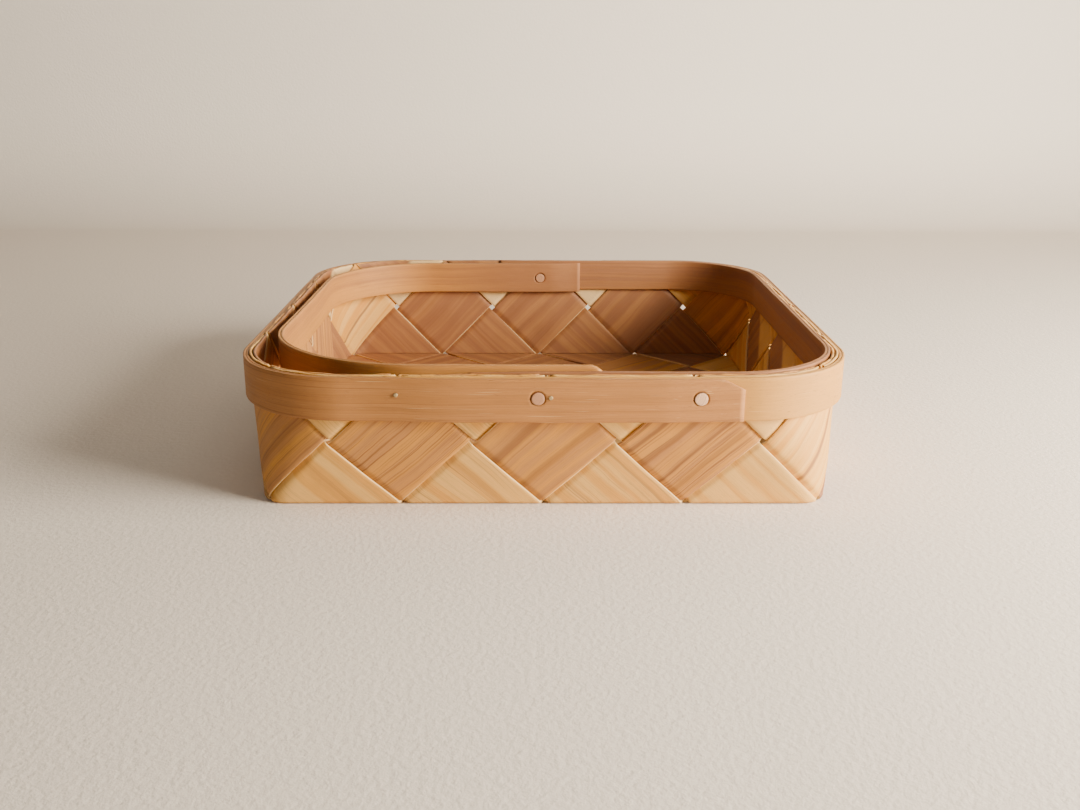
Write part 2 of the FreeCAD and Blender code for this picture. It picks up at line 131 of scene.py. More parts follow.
class WoodColours(bpy.types.PropertyGroup):
    """Colours of the woods and of the stage."""

    pale: colour("Pale", "Sapwood of the light splints", (0.83, 0.480, 0.135))
    honey: colour("Honey", "Yellow bands of the light splints", (0.72, 0.330, 0.055))
    tan: colour("Tan", "The darker splints", (0.54, 0.248, 0.076))
    brown: colour("Brown", "Dark rings and streaks", (0.24, 0.095, 0.035))
    edge: colour("Edge", "Freshly split edges", (0.90, 0.64, 0.29))
    # the inside colour below is painted shade: a darker copy of the tan for the pieces seen inside the
    # basket, where its walls shade them
    inside: colour("Inside", "Shaded inner face of the dark splints", (0.31, 0.132, 0.056))
    hoop: colour("Hoop", "Steamed hoop wood", (0.44, 0.190, 0.054))
    # the light hoop colour below is painted light: a lighter, yellower tone for the outer hoop's front
    # right, where the window light falls
    hoop_painted_light: colour("Hoop, light end", "Where the wrap of the outer hoop starts", (0.66, 0.325, 0.065))
    hoop_dark: colour("Hoop grain", "Dark grain of the hoops", (0.21, 0.085, 0.032))
    peg: colour("Peg", "End grain of the pegs", (0.50, 0.25, 0.13))
    peg_light: colour("Light peg", "End grain of the front right peg", (0.86, 0.52, 0.31))
    steel: colour("Steel", "Small brads", (0.52, 0.39, 0.21))
    floor: colour("Floor", "Pale floor", (0.77, 0.69, 0.60))
    backdrop: colour("Backdrop", "Pale wall behind the floor", (0.93, 0.86, 0.77))


# ------------------------ shader expressions


class Signal:
    """An output socket of a recipe. Arithmetic on it adds Math nodes."""

    def __init__(self, recipe, socket):
        self.recipe = recipe
        self.socket = socket

    def __add__(self, other):
        return self.recipe.math("ADD", self, other)

    __radd__ = __add__

    def __sub__(self, other):
        return self.recipe.math("SUBTRACT", self, other)

    def __rsub__(self, other):
        return self.recipe.math("SUBTRACT", other, self)

    def __mul__(self, other):
        return self.recipe.math("MULTIPLY", self, other)

    def __abs__(self):
        return self.recipe.math("ABSOLUTE", self)


class Recipe:
    """A material and its node tree."""

    def __init__(self, name):
        self.material = bpy.data.materials.new(name)
        self.material.use_nodes = True
        self.tree = self.material.node_tree
        self.tree.nodes.clear()

    def node(self, kind, settings=None, inputs=None, output=0):
        """Adds a node: its settings first, then the values or links of its inputs, by name or number."""
        made = self.tree.nodes.new(kind)
        for key, value in (settings or {}).items():
            setattr(made, key, value)
        for key, value in (inputs or {}).items():
            if isinstance(value, Signal):
                self.tree.links.new(value.socket, made.inputs[key])
            else:
                made.inputs[key].default_value = value
        return Signal(self, made.outputs[output])

    def math(self, operation, *values):
        """A Math node on values or signals."""
        return self.node("ShaderNodeMath", {"operation": operation}, dict(enumerate(values)))

    def vector(self, x, y, z):
        """A vector of three values or signals."""
        return self.node("ShaderNodeCombineXYZ", None, {"X": x, "Y": y, "Z": z})

    def parts(self, vector):
        """The three numbers of a vector."""
        first = self.node("ShaderNodeSeparateXYZ", None, {0: vector}, "X")
        split = first.socket.node
        return first, Signal(self, split.outputs["Y"]), Signal(self, split.outputs["Z"])

    def noise(self, vector, detail=2.0, roughness=0.5):
        """Smooth random number from 0 to 1 over a vector in units of its own grain."""
        return self.node("ShaderNodeTexNoise", {"noise_dimensions": "3D"},
                         {"Vector": vector, "Scale": 1.0, "Detail": detail, "Roughness": roughness}, "Fac")

    def rise(self, value, low, high):
        """0 below low, 1 above high, smooth between."""
        return self.node("ShaderNodeMapRange", {"interpolation_type": "SMOOTHSTEP"},
                         {"Value": value, "From Min": low, "From Max": high}, "Result")

    def mix(self, share, first, second, blend="MIX"):
        """Colour from first to second by share."""
        return self.node("ShaderNodeMix", {"data_type": "RGBA", "blend_type": blend},
                         {0: share, 6: first, 7: second}, 2)

    def finish(self, base, rough, height, lift, metallic=0.0, specular=0.5):
        """Joins a principled shader: lift is the height, in metres, of a bump of 1."""
        bump = self.node("ShaderNodeBump", None, {"Strength": 1.0, "Distance": lift, "Height": height},
                         "Normal")
        shader = self.node("ShaderNodeBsdfPrincipled", None, {
            "Base Color": base, "Roughness": rough, "Metallic": metallic,
            "Specular IOR Level": specular, "Normal": bump})
        made = self.tree.nodes.new("ShaderNodeOutputMaterial")
        self.tree.links.new(shader.socket, made.inputs["Surface"])
        return self.material


def rgba(rgb, gain=1.0):
    """A colour for a socket, brighter or darker by gain."""
    return (*[min(part * gain, 1.0) for part in rgb], 1.0)


def grain_parts(recipe):
    """Distances along, across and through the wood, in mm, as the piece's own attribute holds them."""
    place = recipe.node("ShaderNodeAttribute", {"attribute_name": GRAIN}, None, "Vector")
    return recipe.parts(place)


# ------------------------ wood


def wood(name, seed, tone, band, line, veins=(), half_width=0.0, edge=None, band_share=0.75,
         line_share=0.5, fleck_share=0.3, scratch_share=0.0, bow=3.0, ring=1.0, patches=()):
    """Split or steamed wood.

    Growth rings lie across the piece and wander slowly along it. Their broad noise blends tone into
    band, their fine noise adds lines, and each vein (centre, half width, strength) is one dark streak.
    Fibres are noise stretched along the wood; flecks are short dark pores, scratches are long pale ones.
    Edges half_width from the middle are paler. A patch is a colour, the two distances along between
    which it lies, and the length over which it fades at each end. The rings wander by bow, and lie
    closer together the higher ring is. Distances are in mm.
    """
    recipe = Recipe(name)
    along, across, through = grain_parts(recipe)
    start = 37.0 * seed
    sway = recipe.noise(recipe.vector(along * 0.011 + start, across * 0.02, through * 0.02), 1.5)
    kink = recipe.noise(recipe.vector(along * 0.06 + start, across * 0.08, start), 2.0)
    rings = across + through * 0.7 + (sway - 0.5) * (4 * bow) + (kink - 0.5) * (0.5 * bow)

    broad = recipe.noise(recipe.vector(rings * (0.18 * ring), along * 0.002 + start, start), 2.0, 0.55)
    fine = recipe.noise(recipe.vector(rings * (0.85 * ring), along * 0.006, start + 5), 3.0, 0.66)
    hair = recipe.noise(recipe.vector(rings * (2.1 * ring), along * 0.012, start + 9), 2.0, 0.6)
    fade = recipe.noise(recipe.vector(along * 0.02, across * 0.1, start + 13), 2.0)
    cloud = recipe.noise(recipe.vector(along * 0.05 + start, across * 0.09, start + 17), 3.0, 0.6)
    fibre = recipe.noise(recipe.vector(along * 0.09 + start, across * 4.2, through * 4.2), 3.0, 0.65)
    pore = recipe.noise(recipe.vector(along * 0.33 + start, across * 6.5, through * 6.5), 1.0)

    base = recipe.mix(recipe.rise(broad, 0.42, 0.60) * band_share, rgba(tone), rgba(band))
    thread = recipe.rise(fine, 0.54, 0.63) * recipe.rise(fade, 0.34, 0.56) * line_share
    base = recipe.mix(thread, base, rgba(line))
    hairline = recipe.rise(hair, 0.56, 0.63) * (line_share * 0.6)
    base = recipe.mix(hairline, base, rgba(line, 1.3))
    for patch_colour, first, last, soft in patches:
        there = recipe.rise(along, first - soft, first) * (1 - recipe.rise(along, last, last + soft))
        base = recipe.mix(there * 0.8, base, rgba(patch_colour))
    for centre, half, strength in veins:
        away = abs(rings - centre)
        soft = (1 - recipe.rise(away, half * 0.2, half)) * (0.5 + fine * 0.8) * strength
        base = recipe.mix(soft, base, rgba(line))
    flecks = recipe.rise(pore, 0.66, 0.74) * fleck_share
    base = recipe.mix(flecks, base, rgba(line, 0.8))
    if scratch_share:
        torn = recipe.noise(recipe.vector(along * 0.045 + start, across * 3.1, through * 3.1 + 7.0), 1.0)
        base = recipe.mix(recipe.rise(torn, 0.71, 0.78) * scratch_share, base, rgba(edge))
    shade = recipe.rise(fibre, 0.25, 0.75) * 0.7 + recipe.rise(cloud, 0.3, 0.7) * 0.3
    base = recipe.mix(0.55, base, recipe.mix(shade, rgba((0.66,) * 3), rgba((1.0,) * 3)), "MULTIPLY")
    if half_width:
        cut = recipe.rise(abs(across), half_width - 0.16, half_width - 0.06)
        base = recipe.mix(cut * 0.8, base, rgba(edge))
    rough = 0.46 + shade * 0.12 + thread * 0.08
    height = fibre + fine * 0.5 - flecks * 0.8
    return recipe.finish(base, rough, height, 0.00010, specular=0.26)


# ------------------------ meshes


def unit(vectors):
    """Vectors of length one, over the last axis."""
    return vectors / np.linalg.norm(vectors, axis=-1, keepdims=True)


def level(angle):
    """Level unit vectors at an angle from +X."""
    return np.stack([np.cos(angle), np.sin(angle), np.zeros_like(angle)], axis=-1)


def smooth(share):
    """0 to 1 with level ends."""
    share = np.clip(share, 0, 1)
    return share * share * (3 - 2 * share)


def ripple(place, seed, wave):
    """Irregular wave from -1 to 1: three sines, the longest as long as wave."""
    turn = 2 * math.pi * place / wave
    return (np.sin(turn + 1.7 * seed) + 0.6 * np.sin(turn * 2.3 + 2.9 * seed) +
            0.4 * np.sin(turn * 4.1 + 0.8 * seed)) / 2


def shell_faces(rows, ring):
    """Quads of a tube of rows rings, and of its two ends, where point i of a ring faces point ring-1-i."""
    row, point = np.meshgrid(np.arange(rows - 1), np.arange(ring), indexing="ij")
    onward = (point + 1) % ring
    side = np.stack([row * ring + point, row * ring + onward, (row + 1) * ring + onward,
                     (row + 1) * ring + point], axis=-1).reshape(-1, 4)
    first = np.arange(ring // 2 - 1)
    cap = np.stack([first, ring - 1 - first, ring - 2 - first, first + 1], axis=-1)
    last = (rows - 1) * ring + cap[:, ::-1]
    return np.concatenate([side, cap, last])


def signed_volume(points, faces):
    """Volume inside quads, positive where they point outwards."""
    a, b, c, d = (points[faces[:, corner]] for corner in range(4))
    halves = np.cross(b, c) + np.cross(c, d)
    return np.einsum("ij,ij->i", a, halves).sum() / 6


def add_piece(name, points, faces, grain, material, node):
    """Makes a smooth mesh object with its grain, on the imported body, in place of its CAD node."""
    points = points.reshape(-1, 3)
    if signed_volume(points, faces) < 0:
        faces = faces[:, ::-1]
    mesh = bpy.data.meshes.new(name)
    mesh.vertices.add(len(points))
    mesh.vertices.foreach_set("co", points.astype(np.float32).ravel())
    mesh.loops.add(faces.size)
    mesh.loops.foreach_set("vertex_index", faces.astype(np.int32).ravel())
    mesh.polygons.add(len(faces))
    mesh.polygons.foreach_set("loop_start", np.arange(0, faces.size, 4, dtype=np.int32))
    mesh.polygons.foreach_set("use_smooth", np.ones(len(faces), bool))
    mesh.update(calc_edges=True)
    mesh.validate()
    held = mesh.attributes.new(GRAIN, "FLOAT_VECTOR", "POINT")
    held.data.foreach_set("vector", (grain / MM).astype(np.float32).ravel())
    mesh.materials.append(material)
    piece = bpy.data.objects.new(name, mesh)
    bpy.context.scene.collection.objects.link(piece)
    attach(piece, "root")
    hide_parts(node)


# ------------------------ the plaited body


SLOPE_STEP = 0.05 * MM               # half the distance over which the surface's slopes are taken
BOW_START = 4.0 * MM                 # height up the wall above which splints bow between crossings
BOW_RAMP = 10.0 * MM                 # height over which the bow reaches its full size
SPLINT_ARRIS = 0.13 * MM             # bevel of a splint's edges
SPLINT_COLUMNS = 30                  # points across each face of a splint
CLIMB_ROWS = 150                     # rows of a splint on each wall
BASE_STEP = 0.9 * MM                 # distance between its rows on the base
TOP_WANDER = 0.25 * MM               # how far a splint's cut top wanders, mostly below the wall's top
CORNER_REACH = 26.0 * MM             # how far a corner's stand off fades, round the wall and up it
CORNER_START = 1.0 * MM              # height up the wall where the stand off starts
CORNER_FULL = 6.0 * MM               # height up the wall where it is full


class Weave:
    """The weave's middle surface, unrolled as (u, v): u runs round the bottom edge, v up the wall."""

    def __init__(self, sizes):
        self.sizes = sizes
        self.cell = sizes.cell
        self.side = CELLS * sizes.cell
        self.pitch = sizes.cell / math.sqrt(2)
        self.width = self.pitch - sizes.gap
        self.half_layers = sizes.thick + sizes.air / 2
        self.offset = (sizes.thick + sizes.air) / 2
        self.lean_sin = sizes.spread / sizes.knee_run
        self.lean_cos = math.sqrt(1 - self.lean_sin ** 2)

    def section(self, v):
        """Distance out from the bottom edge, and height, of the wall's section.

        Straight lines: the base, the leaning wall and the upright band. Each of their two corners is an
        arc between points at one reach from it.
        """
        knee = self.sizes.knee_run
        tilt = math.acos(self.lean_sin)
        leaning = np.clip(v, 0, knee)
        out = np.minimum(v, 0) + leaning * self.lean_sin
        high = leaning * self.lean_cos + np.maximum(v - knee, 0)
        below_bend = knee - self.sizes.bend
        corners = ((0, self.sizes.fold, 0, tilt, -self.sizes.fold, 0),
                   (knee, self.sizes.bend, tilt, math.pi / 2, below_bend * self.lean_sin,
                    below_bend * self.lean_cos))
        for middle, reach, before, after, begin_out, begin_high in corners:
            share = (v - middle + reach) / (2 * reach)
            inside = (share > 0) & (share < 1)
            radius = reach / math.tan((after - before) / 2)
            angle = before + share * (after - before)
            out = np.where(inside, begin_out + radius * (np.sin(angle) - math.sin(before)), out)
            high = np.where(inside, begin_high + radius * (math.cos(before) - np.cos(angle)), high)
        return out, high

    def place(self, u, v):
        """Points of the middle surface.

        At each v it is a square with rounded corners: its half side is half the side plus the section's
        way out, and its corner radius grows in step from the base's to the band's. Away from the corners
        u is a true length; within reach of a corner the angle round the arc grows evenly with u.
        """
        out, high = self.section(v)
        half = self.side / 2 + out
        inset = np.minimum(out, 0)
        spread = np.maximum(out, 0)
        base, band = self.sizes.base_corner, self.sizes.band_corner
        radius = np.maximum(base + inset, 0) + spread * (band - base) / self.sizes.spread
        reach = radius - spread
        corner = np.round(u / self.side)
        past = u - corner * self.side
        from_corner = np.maximum(np.abs(past) + inset, 0)
        swing = np.sign(past) * np.minimum(from_corner / np.maximum(reach, TINY), 1) * math.pi / 4
        middle = corner * (math.pi / 2) + math.pi * 5 / 4
        bent = (level(middle) * ((half - radius) * math.sqrt(2))[..., None] +
                level(middle + swing) * radius[..., None])

        wall = np.where(past > 0, corner, corner - 1) * (math.pi / 2)
        along = past - np.sign(past) * self.side / 2
        flat = level(wall - math.pi / 2) * half[..., None] + level(wall) * along[..., None]
        place = np.where((from_corner < reach)[..., None], bent, flat)
        place[..., 2] = self.half_layers + high
        return place

    def surface(self, u, v):
        """Points of the middle surface and their outward unit vectors, from its slopes along u and v."""
        round_it = self.place(u + SLOPE_STEP, v) - self.place(u - SLOPE_STEP, v)
        up_it = self.place(u, v + SLOPE_STEP) - self.place(u, v - SLOPE_STEP)
        return self.place(u, v), unit(np.cross(round_it, up_it))

    def layer(self, s, v):
        """Offset of a splint from the middle surface: one way over each square, changing in the gaps.

        On the wall it also bows by the crown between two crossings.
        """
        square = np.floor(s / self.pitch + 0.5)
        from_middle = s - square * self.pitch
        sign = np.where(square % 2 == 0, -1.0, 1.0)
        into_gap = np.clip((np.abs(from_middle) - self.width / 2) / self.sizes.gap, 0, 0.5)
        change = np.cos(math.pi * into_gap)
        bow = np.cos(math.pi * from_middle / self.pitch) ** 2
        on_wall = smooth((v - BOW_START) / BOW_RAMP)
        return sign * (self.offset * change + self.sizes.crown * bow * on_wall)


def splint_ring(width, thick):
    """Section of a splint as (across, through) points: two faces with small bevels.

    It starts at one end of a short edge, so that point i faces point ring-1-i.
    """
    across = np.linspace(-width / 2 + SPLINT_ARRIS, width / 2 - SPLINT_ARRIS, SPLINT_COLUMNS)
    face = np.full(SPLINT_COLUMNS, thick / 2)
    edge = np.array([width / 2, width / 2])
    side = np.array([thick / 2 - SPLINT_ARRIS, -thick / 2 + SPLINT_ARRIS])
    ring_across = np.concatenate([across, edge, across[::-1], -edge])
    ring_through = np.concatenate([face, side, -face, -side])
    return np.roll(ring_across, 1), np.roll(ring_through, 1)


def splint_seed(corner, number):
    """A number of its own for each splint, which sets its wood and the way it wanders."""
    return corner * CELLS + number + 1


def splint(weave, corner, number, material):
    """One splint: rows along it, parallel to the folds, and a closed section across.

    Rows climb the first wall (s = -w - v sqrt 2), cross the base (s from -w to length + w) and climb the
    last wall (s = length + w + v sqrt 2).
    """
    seed = splint_seed(corner, number)
    squares = 2 * number + 1
    run = squares * weave.pitch
    sizes = weave.sizes
    across, through = splint_ring(weave.width, sizes.thick)
    climb = np.linspace(0, 1, CLIMB_ROWS)
    cross = np.linspace(0, 1, int(run / BASE_STEP) + 8)[1:-1]
    top = sizes.wall_run + TOP_WANDER * ripple(across, seed, 21 * MM) - 0.1 * MM
    first = -across - math.sqrt(2) * top * (1 - climb)[:, None]
    base = -across + cross[:, None] * (run + 2 * across)
    last = run + across + math.sqrt(2) * top * climb[:, None]
    s = np.concatenate([first, base, last])
    w = across + sizes.waver * ripple(s, seed, 130 * MM) * np.sign(across) * (
        np.abs(across) / (weave.width / 2)) ** 2

    first_v = -(s + w) / math.sqrt(2)
    last_v = (s - run - w) / math.sqrt(2)
    on_first = first_v > last_v
    reach = squares * weave.cell / 2
    u = np.where(on_first, corner * weave.side + reach + (w - s) / math.sqrt(2),
                 corner * weave.side - reach - (s - run + w) / math.sqrt(2))
    v = np.maximum(first_v, last_v)
    place, away = weave.surface(u, v)
    lift = weave.layer(s, v) + through

    if number == CELLS - 1:
        past = np.abs(u - np.round(u / weave.side) * weave.side)
        near_corner = smooth(1 - past / CORNER_REACH)
        above_fold = smooth((v - CORNER_START) / (CORNER_FULL - CORNER_START))
        below_top = smooth(1 - (v - CORNER_FULL) / CORNER_REACH)
        outer = smooth((weave.layer(s, v) / weave.offset + 1) / 2)
        lift = lift + sizes.stand_off * near_corner * above_fold * below_top * outer
    points = place + away * lift[..., None]
    rows, ring = s.shape
    grain = np.stack([s, w, np.broadcast_to(through, s.shape)], axis=-1)
    node = f"splint_{CORNERS[corner]}_{number + 1}"
    add_piece(f"plait_{CORNERS[corner]}_{number + 1}", points, shell_faces(rows, ring), grain, material,
              node)


# ------------------------ hoops


LINE_STEP = 2.0 * MM                 # distance between the points of a hoop's line
LOW_PART = 0.62                      # share of a strip's height, from below, that keeps its place
HOLE_SINK = 0.8 * MM                 # depth of a peg's hole in a strip's face
HOLE_EDGE = 0.12 * MM                # how far the wood round a hole is pressed in
TOP_WAVE = 0.12 * MM                 # how far a strip's two edges wander
OUTER_CLIP = (9.0 * MM, 4.5 * MM)    # corner cut off the outer hoop's visible end: along, down
LEFT_CLIP = (5.4 * MM, 3.2 * MM)     # the same at the left-hand inner length's front end


def rounded_line(corners, radii):
    """Points, right-hand unit vectors and distances along a line with tangent arcs at its corners.

    corners are (x, y); radii are those of the inner ones. Each straight and each arc is sampled evenly.
    """
    corners = [np.array(corner, float) for corner in corners]
    points, sides = [], []
    start = corners[0]
    for index, radius in enumerate(radii, 1):
        here = corners[index]
        come = unit(here - corners[index - 1])
        leave = unit(corners[index + 1] - here)
        turn = math.atan2(come[0] * leave[1] - come[1] * leave[0], come @ leave)
        reach = radius * math.tan(turn / 2)
        enter = here - come * reach
        count = max(int(np.linalg.norm(enter - start) / LINE_STEP), 2)
        share = np.linspace(0, 1, count, endpoint=False)[:, None]
        points.append(start + (enter - start) * share)
        sides.append(np.repeat([[come[1], -come[0]]], count, axis=0))
        centre = enter + radius * np.array([-come[1], come[0]])
        count = max(int(radius * turn / LINE_STEP), 8)
        angle = math.atan2(-come[0], come[1]) + np.linspace(0, turn, count, endpoint=False)
        ray = np.stack([np.cos(angle), np.sin(angle)], axis=-1)
        points.append(centre + radius * ray)
        sides.append(ray)
        start = here + leave * reach
    end = corners[-1]
    leave = unit(end - start)
    count = max(int(np.linalg.norm(end - start) / LINE_STEP), 2)
    points.append(start + (end - start) * np.linspace(0, 1, count)[:, None])
    sides.append(np.repeat([[leave[1], -leave[0]]], count, axis=0))
    points, sides = np.concatenate(points), np.concatenate(sides)
    travelled = np.concatenate([[0], np.cumsum(np.linalg.norm(np.diff(points, axis=0), axis=1))])
    return points, sides, travelled


def refine(places, centres, reach, step):
    """Places with extra ones, a step apart, within reach of each centre."""
    extra = [centre + np.arange(-reach, reach + step / 2, step) for centre in centres]
    merged = np.unique(np.round(np.concatenate([places, *extra]), 7))
    return merged[(merged >= places.min()) & (merged <= places.max())]


def hoop_ring(height_lines, arris, groove):
    """Section of a strip as (up, through) points, both from 0 to 1 of the height and thickness.

    The two faces carry the height lines, the four arrises are arcs, and the upper edge has a groove where
    two plies meet. Arris and groove are in shares of height and of thickness.
    """
    up_arris, through_arris = arris
    turn = np.linspace(0, math.pi / 2, 4)[1:-1]
    face = np.clip(height_lines, up_arris, 1 - up_arris)
    top_up = 1 - up_arris + up_arris * np.sin(turn)
    top_through = 1 - through_arris + through_arris * np.cos(turn)
    top = np.array([[1, 0.62], [1 - groove * 0.2, 0.56], [1 - groove, 0.53]])
    half = np.concatenate([
        np.stack([face, np.ones_like(face)], axis=-1),
        np.stack([top_up, top_through], axis=-1),
        [[1, 1 - through_arris]], top])
    low = np.stack([up_arris - up_arris * np.sin(turn), top_through], axis=-1)[::-1]
    half = np.concatenate([[[0, 0.55], [0, 1 - through_arris]], low, half])
    other = half[::-1].copy()
    other[:, 1] = 1 - other[:, 1]
    ring = np.concatenate([half, other])
    return ring[:, 0], ring[:, 1]


def punch(along, up, centres, radius):
    """Moves a grid of (along, up) so that its lines round each centre become circles.

    A square ring at distance m turns into a circle of radius m up to the hole's radius, and relaxes back
    to a square at twice that. The third value is the distance m of the nearest centre, over radius.
    """
    nearest = np.full(along.shape, np.inf)
    for x, z in centres:
        dx, dz = along - x, up - z
        square = np.maximum(np.abs(dx), np.abs(dz)) / radius
        round_ = np.maximum(np.hypot(dx, dz) / radius, TINY)
        pull = (square / round_ - 1) * (1 - smooth(square - 1))
        pull = np.where(square < 2, pull, 0)
        along, up = along + dx * pull, up + dz * pull
        nearest = np.minimum(nearest, square)
    return along, up, nearest


def hoop(name, node, sizes, line, low, high, thick, rise, holes, material, seed, clip=(0, 0), groove=0.02,
         trim=None):
    """A bent strip: its inner face follows a line, and its section runs outwards from there.

    line is (points, sides, travelled) of the inner face; thick and rise are functions of the distance
    travelled. holes are (distance, height) of peg holes, sunk into both faces. clip is the corner cut off
    the top at the end, as (along, down), and trim is how far the top is lowered by the distance travelled.
    """
    points, sides, travelled = line
    end = travelled[-1]
    height = high - low
    radius = sizes.hole_radius
    centres = [(x, z - low) for x, z in holes]
    places = refine(travelled, [x for x, _ in centres], 2.2 * radius, radius / 7)
    lines = refine(np.linspace(0, height, 15), [z for _, z in centres], 2.2 * radius, radius / 7) / height
    full_thick = thick(np.array([end / 2]))[0]
    ring_up, ring_through = hoop_ring(lines, (sizes.arris / height, sizes.arris / full_thick), groove)

    along = np.repeat(places[:, None], len(ring_up), axis=1)
    up = np.broadcast_to(ring_up * height, along.shape)
    along, up, hole = punch(along, up, centres, radius)
    cut = np.clip((along - (end - clip[0])) / max(clip[0], TINY), 0, 1) * clip[1]
    if trim:
        cut = cut + trim(along)
    up = up - cut * np.clip((up / height - LOW_PART) / (1 - LOW_PART), 0, 1)
    up = up + TOP_WAVE * ripple(along, seed, 90 * MM) * (ring_up - 0.5) * 2

    x = np.interp(along, travelled, points[:, 0])
    y = np.interp(along, travelled, points[:, 1])
    side_x = np.interp(along, travelled, sides[:, 0])
    side_y = np.interp(along, travelled, sides[:, 1])
    through = ring_through * thick(along)
    face = np.where(ring_through > 0.99, 1, np.where(ring_through < 0.01, -1, 0))
    pressed = HOLE_EDGE * (1 - smooth((hole - 1) / 0.25))
    depth = rise(along) + through - np.where(hole < 1.001, HOLE_SINK, pressed) * face
    place = np.stack([x + side_x * depth, y + side_y * depth, low + up], axis=-1)
    grain = np.stack([along, up - height / 2, through], axis=-1)
    rows, ring = along.shape
    add_piece(name, place, shell_faces(rows, ring), grain, material, node)


# ------------------------ turned pieces


def turned(name, node, profile, low, high, centre, material, sides=48):
    """A piece turned about a line along Y.

    profile is (share of the way from low to high, radius); radius varies round it by a slight ripple.
    """
    profile = np.array(profile, float)
    angle = np.linspace(0, 2 * math.pi, sides, endpoint=False)
    uneven = 1 + 0.014 * np.sin(3 * angle + centre[0] * 900) + 0.008 * np.sin(5 * angle + centre[0] * 400)
    across = profile[:, 1, None] * np.cos(angle) * uneven
    up = profile[:, 1, None] * np.sin(angle) * uneven
    along = np.broadcast_to(low + profile[:, :1] * (high - low), across.shape)
    points = np.stack([centre[0] + across, along, centre[1] + up], axis=-1)
    grain = np.stack([across, up, along], axis=-1)
    add_piece(name, points, shell_faces(len(profile), sides), grain, material, node)


def end_grain(name, seed, tone, dark):
    """End of a round peg: curved growth rings, fine specks, and a darker rim that is painted shade for the
    gap round the peg.
    """
    recipe = Recipe(name)
    across, up, through = grain_parts(recipe)
    offset = recipe.vector(across + (4.0 + seed), up - 2.5, 0.0)
    far = recipe.node("ShaderNodeVectorMath", {"operation": "LENGTH"}, {0: offset}, "Value")
    out = recipe.node("ShaderNodeVectorMath", {"operation": "LENGTH"},
                      {0: recipe.vector(across, up, 0.0)}, "Value")
    sway = recipe.noise(recipe.vector(across * 0.7, up * 0.7, through * 0.2 + seed), 2.0)
    rings = recipe.noise(recipe.vector(far * 2.2 + sway, 0.0, 3.0 * seed), 2.0, 0.6)
    speck = recipe.noise(recipe.vector(across * 6.0, up * 6.0, through + seed), 2.0)
    base = recipe.mix(recipe.rise(rings, 0.42, 0.62) * 0.35, rgba(tone), rgba(dark))
    base = recipe.mix(recipe.rise(speck, 0.56, 0.72) * 0.35, base, rgba(dark, 0.7))
    # painted shade: the outermost quarter millimetre darkens, standing in for the shadow in the gap between
    # peg and hole
    rim = recipe.rise(out, 2.35, 2.62)
    base = recipe.mix(rim * 0.75, base, rgba(dark, 0.55))
    return recipe.finish(base, 0.55 + rings * 0.1, rings + speck * 0.6, 0.00012, specular=0.4)


def brad_metal(name, tint):
    """Small steel head: scuffed and bright on its crown, dull and stained towards its edge."""
    recipe = Recipe(name)
    across, up, through = grain_parts(recipe)
    out = recipe.node("ShaderNodeVectorMath", {"operation": "LENGTH"},
                      {0: recipe.vector(across, up, 0.0)}, "Value")
    scuff = recipe.noise(recipe.vector(across * 3.0, up * 3.0, through), 3.0, 0.7)
    stain = recipe.rise(out + scuff * 0.6, 0.9, 1.5)
    base = recipe.mix(stain * 0.8, rgba(tint), rgba((0.10, 0.065, 0.04)))
    return recipe.finish(base, 0.34 + scuff * 0.3, scuff, 0.00010, metallic=0.9)


# ------------------------ stage


CAMERA_PLACE = (-0.0061, -0.5335, 0.1754)
CAMERA_LENS = 37.2                   # mm, on a sensor 36 mm wide
CAMERA_DOWN = 17.65                  # degrees below the horizon
CAMERA_LEFT = -0.56                  # degrees to the left of +Y
CAMERA_ROLL = 0.21                   # degrees
WARM = (1.0, 0.905, 0.765)
NEARLY_WHITE = (1.0, 0.97, 0.93)
FLOOR_REACH = 3.0                    # metres from the middle to the floor's edges
BACKDROP_Y = 0.66                    # metres
BACKDROP_TOP = 2.2                   # metres
SWEEP = 0.07                         # radius between floor and backdrop, metres


def add_camera(context):
    """Camera in front of the basket, looking slightly down at it."""
    camera = bpy.data.cameras.new("camera")
    camera.sensor_width = 36
    camera.lens = CAMERA_LENS
    holder = bpy.data.objects.new("camera", camera)
    context.scene.collection.objects.link(holder)
    turn = Euler((math.radians(90 - CAMERA_DOWN), 0, math.radians(CAMERA_LEFT))).to_matrix()
    turn = turn @ Matrix.Rotation(math.radians(CAMERA_ROLL), 3, "Z")
    holder.matrix_world = Matrix.LocRotScale(Vector(CAMERA_PLACE), turn, None)
    context.scene.camera = holder


def area_light(context, name, place, target, size, power, tint):
    """A square soft light that faces a target."""
    light = bpy.data.lights.new(name, "AREA")
    light.shape = "SQUARE"
    light.size = size
    light.energy = power
    light.color = tint
    holder = bpy.data.objects.new(name, light)
    holder.location = place
    holder.rotation_euler = (Vector(target) - Vector(place)).to_track_quat("-Z", "Y").to_euler()
    context.scene.collection.objects.link(holder)


def around(bearing, height, distance):
    """Place at a bearing from +X towards -Y, an angle above the floor and a distance from the origin."""
    side, up = math.radians(bearing), math.radians(height)
    return (distance * math.cos(side) * math.cos(up), -distance * math.sin(side) * math.cos(up),
            distance * math.sin(up))


def add_lights(context):
    """A window-like light, low on the right and in front, a weak wide one overhead, pale surroundings."""
    area_light(context, "window", around(24, 19, 0.85), (0, 0, 0.03), 0.5, 33, WARM)
    area_light(context, "ceiling", (0.1, 0.1, 1.6), (0, 0, 0), 1.6, 2, NEARLY_WHITE)
    world = bpy.data.worlds.new("surroundings")
    world.use_nodes = True
    backdrop = world.node_tree.nodes["Background"]
    backdrop.inputs["Color"].default_value = (1.0, 0.95, 0.88, 1)
    backdrop.inputs["Strength"].default_value = 0.14
    context.scene.world = world


